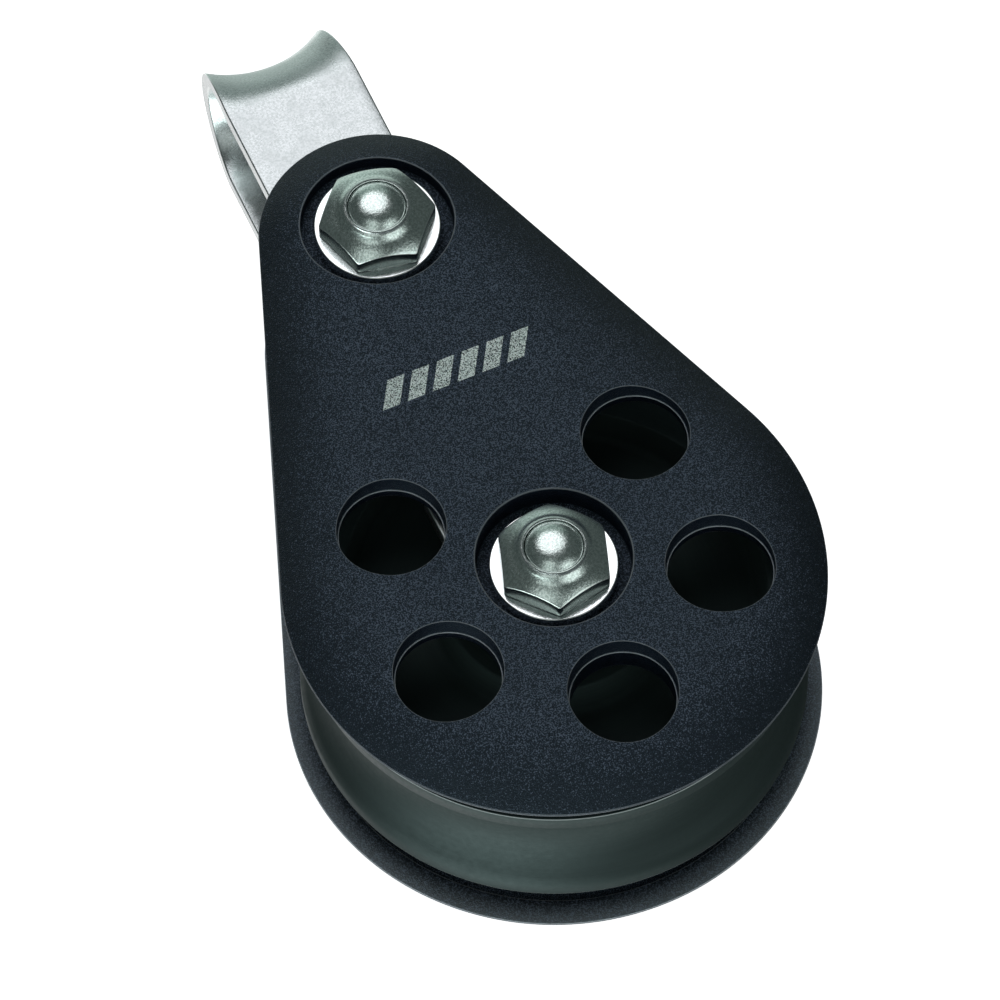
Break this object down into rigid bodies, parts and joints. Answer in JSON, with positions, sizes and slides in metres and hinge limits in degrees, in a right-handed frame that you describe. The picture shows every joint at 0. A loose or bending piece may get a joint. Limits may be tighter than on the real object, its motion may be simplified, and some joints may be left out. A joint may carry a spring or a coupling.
{
  "type": "single sheave block",
  "caption": "Boat block with crowned teardrop cheeks, a wide sheave that spins between them, internal load straps and a fixed bell-mouthed eye strap at the head.",
  "frame": {"origin": "on the floor under the middle of the block's outline, with the block lying on its two bolt heads", "axes": "+Z along the axle towards the nuts, +Y from the axle towards the eye, +X across the cheeks"},
  "size_m": [0.064, 0.12, 0.0419],
  "materials": {
    "cheek": "fine sandy moulded texture",
    "sheave": "turned, satin",
    "bush": "bronze",
    "strap": "satin stainless",
    "eye": "satin stainless",
    "fastener": "tumbled stainless",
    "washer": "bright",
    "packing": "moulded"
  },
  "bodies": {
    "block": {"front_cheek": "cheek", "rear_cheek": "cheek", "front_load_strap": "strap", "rear_load_strap": "strap", "axle_sleeve": "strap", "thrust_washer_front": "packing", "thrust_washer_rear": "packing", "axle_bolt": "fastener", "axle_nut": "fastener", "axle_washer_front": "washer", "axle_washer_rear": "washer", "eye_strap": "eye", "head_spacer": "strap", "head_packing_front": "packing", "head_packing_rear": "packing", "head_bolt": "fastener", "head_nut": "fastener", "head_washer_front": "washer", "head_washer_rear": "washer"},
    "sheave": {"sheave": "sheave", "sheave_bush": "bush"}
  },
  "joints": [
    {"name": "sheave_spin", "type": "hinge", "parent": "block", "child": "sheave", "pos_m": [0, -0.02796, 0.0213], "axis": [0, 0, 1], "continuous": true}
  ]
}
